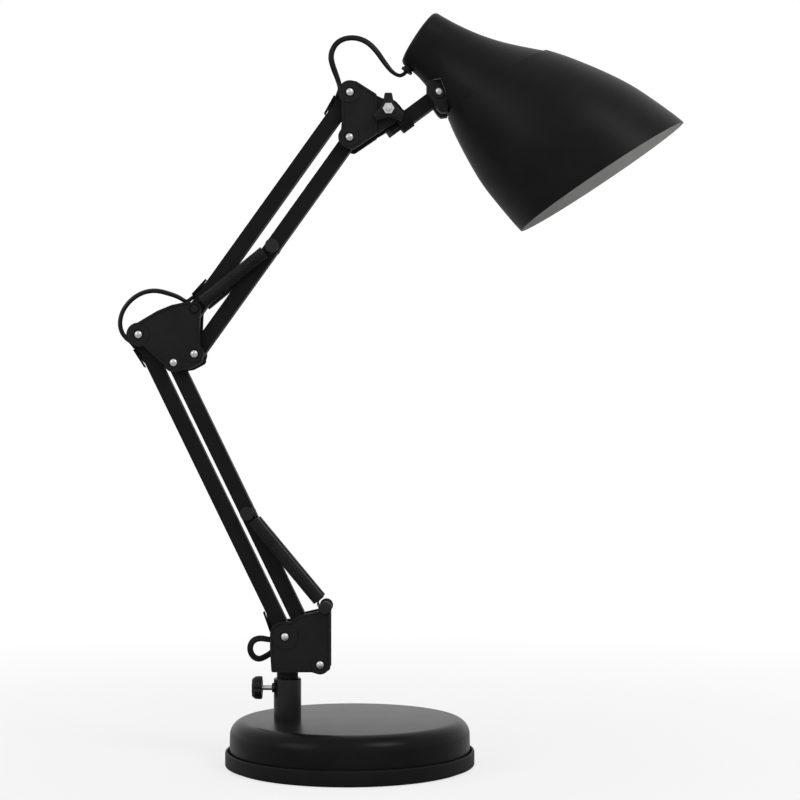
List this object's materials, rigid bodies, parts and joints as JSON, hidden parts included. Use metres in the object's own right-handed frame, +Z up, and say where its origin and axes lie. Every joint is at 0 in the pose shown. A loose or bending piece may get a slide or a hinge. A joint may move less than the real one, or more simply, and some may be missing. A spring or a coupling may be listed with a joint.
{
  "type": "desk lamp",
  "caption": "Black counterweight balance desk lamp with two spring-balanced parallel arms, a round weighted base and a tilting bell shade.",
  "frame": {"origin": "centre of the round base on the table", "axes": "+Z up, +X to the shade's side (right in the picture), +Y to the back"},
  "size_m": [0.4513, 0.199, 0.6005],
  "materials": {
    "black_metal": "semi-matt black",
    "black_plastic": "moulded black",
    "steel": "bright zinc",
    "spring_steel": "dark spring steel",
    "cast_weight": "raw cast",
    "foot_rubber": "soft foot",
    "shade_white": "black outside, light grey inside",
    "brass": "plain",
    "cord_black": "flat twin flex"
  },
  "bodies": {
    "base": {"base_pad": "foot_rubber", "base_tray": "black_plastic", "base_cover": "black_plastic", "base_weight": "cast_weight", "base_screws": "steel", "stem_tube": "black_metal", "stem_nut": "steel", "cord_inlet": "black_plastic", "cord_base": "cord_black"},
    "thumb_screw": {"thumb_knob": "black_plastic", "thumb_shank": "steel"},
    "mast": {"mast_pin": "black_metal", "lower_plate_near": "black_plastic", "lower_plate_far": "black_plastic", "lower_screws": "steel", "lower_nuts": "steel", "lower_sleeves": "steel", "lower_washers": "black_plastic", "lower_spring_studs": "steel", "lower_springs": "spring_steel", "cord_lower_loop": "cord_black"},
    "lower_bar_left": {"lower_bar_left": "black_metal", "cord_lower_bar": "cord_black"},
    "lower_bar_right": {"lower_bar_right": "black_metal", "lower_spring_pin": "steel"},
    "elbow": {"elbow_plate_near": "black_plastic", "elbow_plate_far": "black_plastic", "elbow_screws": "steel", "elbow_nuts": "steel", "elbow_sleeves": "steel", "elbow_washers": "black_plastic", "upper_springs": "spring_steel", "cord_elbow_loop": "cord_black"},
    "upper_bar_left": {"upper_bar_left": "black_metal", "cord_upper_bar": "cord_black"},
    "upper_bar_right": {"upper_bar_right": "black_metal", "upper_spring_pin": "steel"},
    "top_bracket": {"top_plate_near": "black_plastic", "top_plate_far": "black_plastic", "top_screws": "steel", "top_nuts": "steel", "top_sleeves": "steel", "top_washers": "black_plastic", "head_nut": "steel", "cord_head_loop": "cord_black"},
    "head_knob": {"head_knob": "black_plastic", "head_bolt": "steel"},
    "swivel": {"swivel_block": "black_metal"},
    "head_arm": {"head_arm": "black_metal", "head_arm_nut": "steel"},
    "shade": {"shade_lug": "black_plastic", "lug_screw": "steel", "shade_neck": "shade_white", "shade_bell": "shade_white", "cord_gland": "black_plastic", "lampholder": "black_plastic", "lampholder_contacts": "brass", "lampholder_nipple": "black_metal", "cord_in_shade": "cord_black"}
  },
  "joints": [
    {"name": "stem_swivel", "type": "hinge", "parent": "base", "child": "mast", "pos_m": [-0.05, 0, 0.07], "axis": [0, 0, 1], "range_deg": [-170, 170]},
    {"name": "thumb_screw_turn", "type": "hinge", "parent": "base", "child": "thumb_screw", "pos_m": [-0.0702, 0, 0.0621], "axis": [1, 0, 0], "range_deg": [0, 360]},
    {"name": "lower_arm_fold", "type": "hinge", "parent": "mast", "child": "lower_bar_left", "pos_m": [-0.0513, 0, 0.1042], "axis": [0, 1, 0], "range_deg": [-4, 45], "deforming": ["cord_lower_loop"]},
    {"name": "lower_right_bar_turn", "type": "hinge", "parent": "mast", "child": "lower_bar_right", "pos_m": [-0.0234, 0, 0.082], "axis": [0, 1, 0], "range_deg": [-4, 45], "deforming": ["lower_springs"]},
    {"name": "elbow_turn", "type": "hinge", "parent": "lower_bar_left", "child": "elbow", "pos_m": [-0.16755, 0, 0.34385], "axis": [0, 1, 0], "range_deg": [-45, 4], "deforming": ["cord_elbow_loop"]},
    {"name": "upper_arm_fold", "type": "hinge", "parent": "elbow", "child": "upper_bar_left", "pos_m": [-0.12295, 0, 0.3642], "axis": [0, 1, 0], "range_deg": [-12, 50]},
    {"name": "upper_right_bar_turn", "type": "hinge", "parent": "elbow", "child": "upper_bar_right", "pos_m": [-0.12325, 0, 0.3285], "axis": [0, 1, 0], "range_deg": [-12, 50], "deforming": ["upper_springs"]},
    {"name": "top_bracket_turn", "type": "hinge", "parent": "upper_bar_left", "child": "top_bracket", "pos_m": [0.00025, 0, 0.5362], "axis": [0, 1, 0], "range_deg": [-50, 12]},
    {"name": "head_knob_turn", "type": "hinge", "parent": "top_bracket", "child": "head_knob", "pos_m": [0.03095, 0, 0.52155], "axis": [0, 1, 0], "range_deg": [0, 360]},
    {"name": "head_tilt", "type": "hinge", "parent": "top_bracket", "child": "swivel", "pos_m": [0.03095, 0, 0.52155], "axis": [0, 1, 0], "range_deg": [-40, 55], "deforming": ["cord_head_loop"]},
    {"name": "head_twist", "type": "hinge", "parent": "swivel", "child": "head_arm", "pos_m": [0.04292, 0, 0.51523], "axis": [0.8038, 0, 0.5949], "range_deg": [-40, 40]},
    {"name": "shade_tilt", "type": "hinge", "parent": "head_arm", "child": "shade", "pos_m": [0.07105, 0, 0.53605], "axis": [0, 1, 0], "range_deg": [-12, 12]}
  ],
  "couplings": [
    {"joint": "lower_right_bar_turn", "follows": "lower_arm_fold", "ratio": 1},
    {"joint": "elbow_turn", "follows": "lower_arm_fold", "ratio": -1},
    {"joint": "upper_right_bar_turn", "follows": "upper_arm_fold", "ratio": 1},
    {"joint": "top_bracket_turn", "follows": "upper_arm_fold", "ratio": -1}
  ]
}
